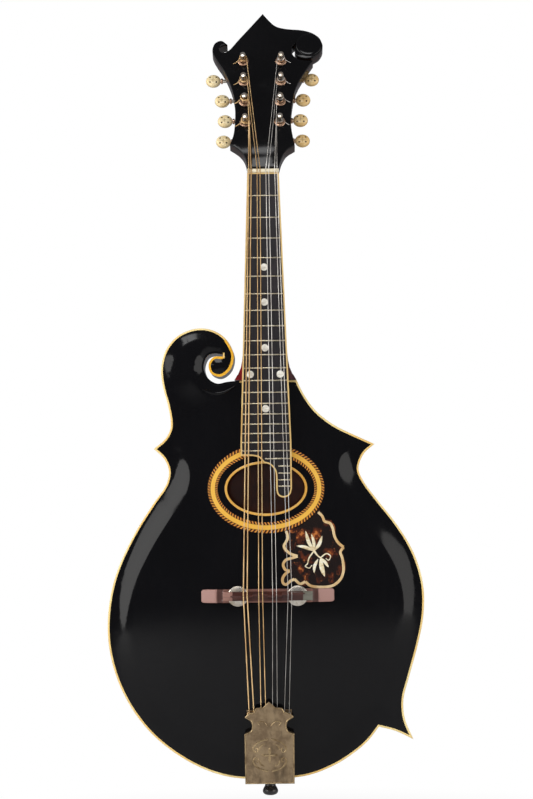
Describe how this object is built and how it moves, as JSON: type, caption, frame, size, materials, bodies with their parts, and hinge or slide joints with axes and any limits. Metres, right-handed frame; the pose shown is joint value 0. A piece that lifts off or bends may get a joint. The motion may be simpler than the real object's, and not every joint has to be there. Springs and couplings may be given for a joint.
{
  "type": "mandolin",
  "caption": "Scroll-bodied mandolin with a carved top, oval soundhole, inlaid guard, adjustable bridge, sliding tailpiece cover and geared worm tuners.",
  "frame": {"origin": "centre of the end button's flat outer face, the lowest point of the instrument when it is held neck up", "axes": "+Z from the end button up along the body and neck, the front with the strings faces -Y, +X to the treble side (the viewer's right)"},
  "size_m": [0.2629, 0.1, 0.6716],
  "materials": {
    "spruce_black": "black gloss lacquer on spruce",
    "maple_back": "dark gloss lacquer on maple",
    "maple_ribs": "dark gloss lacquer on maple",
    "basswood": "raw",
    "mahogany_block": "raw",
    "spruce_brace": "raw",
    "body_binding": "gloss",
    "rosette": "gloss marquetry",
    "hole_binding": "gloss",
    "guard": "gloss tortoiseshell",
    "neck_mahogany": "red brown gloss",
    "head_veneer": "black gloss",
    "ebony": "satin",
    "board_binding": "gloss",
    "ivory": "satin",
    "rosewood": "satin",
    "saddle_rosewood": "satin",
    "stud_steel": "bright",
    "wheel_nickel": "nickel plate",
    "tail_brass": "aged plate",
    "cover_brass": "aged plate",
    "black_plastic": "gloss",
    "plate_nickel": "aged nickel",
    "post_nickel": "aged nickel",
    "worm_nickel": "aged nickel",
    "button_cream": "gloss",
    "button_amber": "gloss",
    "bronze_string": "wound bronze",
    "steel_string": "plain steel"
  },
  "bodies": {
    "instrument": {"top_plate": "spruce_black", "back_plate": "maple_back", "rib_ring": "maple_ribs", "top_lining": "basswood", "back_lining": "basswood", "neck_block": "mahogany_block", "tail_block": "mahogany_block", "tone_bar": "spruce_brace", "top_binding": "body_binding", "rosette_ring": "rosette", "soundhole_binding": "hole_binding", "inlaid_pickguard": "guard", "neck": "neck_mahogany", "headstock_veneer": "head_veneer", "fingerboard": "ebony", "fingerboard_binding": "board_binding", "nut": "ivory", "bridge_base": "rosewood", "bridge_stud_bass": "stud_steel", "bridge_stud_treble": "stud_steel", "tailpiece_base": "tail_brass", "end_button": "black_plastic", "tuner_plate_bass": "plate_nickel", "tuner_plate_treble": "plate_nickel", "string_b1": "bronze_string", "string_b2": "bronze_string", "string_b3": "bronze_string", "string_b4": "bronze_string", "string_t1": "steel_string", "string_t2": "steel_string", "string_t3": "steel_string", "string_t4": "steel_string"},
    "knob_b1": {"tuner_button_b1": "button_cream", "tuner_worm_b1": "worm_nickel"},
    "post_b1": {"tuner_post_b1": "post_nickel"},
    "knob_b2": {"tuner_button_b2": "button_cream", "tuner_worm_b2": "worm_nickel"},
    "post_b2": {"tuner_post_b2": "post_nickel"},
    "knob_b3": {"tuner_button_b3": "button_cream", "tuner_worm_b3": "worm_nickel"},
    "post_b3": {"tuner_post_b3": "post_nickel"},
    "knob_b4": {"tuner_button_b4": "button_cream", "tuner_worm_b4": "worm_nickel"},
    "post_b4": {"tuner_post_b4": "post_nickel"},
    "knob_t1": {"tuner_button_t1": "button_amber", "tuner_worm_t1": "worm_nickel"},
    "post_t1": {"tuner_post_t1": "post_nickel"},
    "knob_t2": {"tuner_button_t2": "button_amber", "tuner_worm_t2": "worm_nickel"},
    "post_t2": {"tuner_post_t2": "post_nickel"},
    "knob_t3": {"tuner_button_t3": "button_amber", "tuner_worm_t3": "worm_nickel"},
    "post_t3": {"tuner_post_t3": "post_nickel"},
    "knob_t4": {"tuner_button_t4": "button_amber", "tuner_worm_t4": "worm_nickel"},
    "post_t4": {"tuner_post_t4": "post_nickel"},
    "saddle": {"bridge_saddle": "saddle_rosewood"},
    "wheel_bass": {"thumbwheel_bass": "wheel_nickel"},
    "wheel_treble": {"thumbwheel_treble": "wheel_nickel"},
    "cover": {"tailpiece_cover": "cover_brass"}
  },
  "joints": [
    {"name": "knob_turn_b1", "type": "hinge", "parent": "instrument", "child": "knob_b1", "pos_m": [-0.0148, 0.01534, 0.55572], "axis": [1, 0, 0], "continuous": true},
    {"name": "post_turn_b1", "type": "hinge", "parent": "instrument", "child": "post_b1", "pos_m": [-0.0148, -0.00025, 0.56991], "axis": [0, -0.9397, 0.342], "continuous": true},
    {"name": "knob_turn_b2", "type": "hinge", "parent": "instrument", "child": "knob_b2", "pos_m": [-0.0153, 0.02222, 0.57461], "axis": [1, 0, 0], "continuous": true},
    {"name": "post_turn_b2", "type": "hinge", "parent": "instrument", "child": "post_b2", "pos_m": [-0.0153, 0.00663, 0.5888], "axis": [0, -0.9397, 0.342], "continuous": true},
    {"name": "knob_turn_b3", "type": "hinge", "parent": "instrument", "child": "knob_b3", "pos_m": [-0.016, 0.02909, 0.5935], "axis": [1, 0, 0], "continuous": true},
    {"name": "post_turn_b3", "type": "hinge", "parent": "instrument", "child": "post_b3", "pos_m": [-0.016, 0.0135, 0.60769], "axis": [0, -0.9397, 0.342], "continuous": true},
    {"name": "knob_turn_b4", "type": "hinge", "parent": "instrument", "child": "knob_b4", "pos_m": [-0.0164, 0.03597, 0.61239], "axis": [1, 0, 0], "continuous": true},
    {"name": "post_turn_b4", "type": "hinge", "parent": "instrument", "child": "post_b4", "pos_m": [-0.0164, 0.02038, 0.62657], "axis": [0, -0.9397, 0.342], "continuous": true},
    {"name": "knob_turn_t1", "type": "hinge", "parent": "instrument", "child": "knob_t1", "pos_m": [0.0148, 0.01534, 0.55572], "axis": [1, 0, 0], "continuous": true},
    {"name": "post_turn_t1", "type": "hinge", "parent": "instrument", "child": "post_t1", "pos_m": [0.0148, -0.00025, 0.56991], "axis": [0, -0.9397, 0.342], "continuous": true},
    {"name": "knob_turn_t2", "type": "hinge", "parent": "instrument", "child": "knob_t2", "pos_m": [0.0153, 0.02222, 0.57461], "axis": [1, 0, 0], "continuous": true},
    {"name": "post_turn_t2", "type": "hinge", "parent": "instrument", "child": "post_t2", "pos_m": [0.0153, 0.00663, 0.5888], "axis": [0, -0.9397, 0.342], "continuous": true},
    {"name": "knob_turn_t3", "type": "hinge", "parent": "instrument", "child": "knob_t3", "pos_m": [0.016, 0.02909, 0.5935], "axis": [1, 0, 0], "continuous": true},
    {"name": "post_turn_t3", "type": "hinge", "parent": "instrument", "child": "post_t3", "pos_m": [0.016, 0.0135, 0.60769], "axis": [0, -0.9397, 0.342], "continuous": true},
    {"name": "knob_turn_t4", "type": "hinge", "parent": "instrument", "child": "knob_t4", "pos_m": [0.0164, 0.03597, 0.61239], "axis": [1, 0, 0], "continuous": true},
    {"name": "post_turn_t4", "type": "hinge", "parent": "instrument", "child": "post_t4", "pos_m": [0.0164, 0.02038, 0.62657], "axis": [0, -0.9397, 0.342], "continuous": true},
    {"name": "saddle_lift", "type": "slide", "parent": "instrument", "child": "saddle", "axis": [0, -1, 0], "range_m": [-0.0008, 0.0016], "deforming": ["string_b1", "string_b2", "string_b3", "string_b4", "string_t1", "string_t2", "string_t3", "string_t4"]},
    {"name": "wheel_turn_bass", "type": "hinge", "parent": "saddle", "child": "wheel_bass", "pos_m": [-0.0246, -0.04305, 0.1694], "axis": [0, -1, 0], "range_deg": [-360, 720]},
    {"name": "wheel_turn_treble", "type": "hinge", "parent": "saddle", "child": "wheel_treble", "pos_m": [0.0246, -0.04305, 0.1694], "axis": [0, -1, 0], "range_deg": [-360, 720]},
    {"name": "cover_slide", "type": "slide", "parent": "instrument", "child": "cover", "axis": [0, 0, -1], "range_m": [0, 0.07]}
  ],
  "couplings": [
    {"joint": "post_turn_b1", "follows": "knob_turn_b1", "ratio": -0.071429},
    {"joint": "post_turn_b2", "follows": "knob_turn_b2", "ratio": -0.071429},
    {"joint": "post_turn_b3", "follows": "knob_turn_b3", "ratio": -0.071429},
    {"joint": "post_turn_b4", "follows": "knob_turn_b4", "ratio": -0.071429},
    {"joint": "post_turn_t1", "follows": "knob_turn_t1", "ratio": -0.071429},
    {"joint": "post_turn_t2", "follows": "knob_turn_t2", "ratio": -0.071429},
    {"joint": "post_turn_t3", "follows": "knob_turn_t3", "ratio": -0.071429},
    {"joint": "post_turn_t4", "follows": "knob_turn_t4", "ratio": -0.071429},
    {"joint": "wheel_turn_bass", "follows": "saddle_lift", "rad_per_m": 7853.9},
    {"joint": "wheel_turn_treble", "follows": "saddle_lift", "rad_per_m": 7853.9}
  ]
}
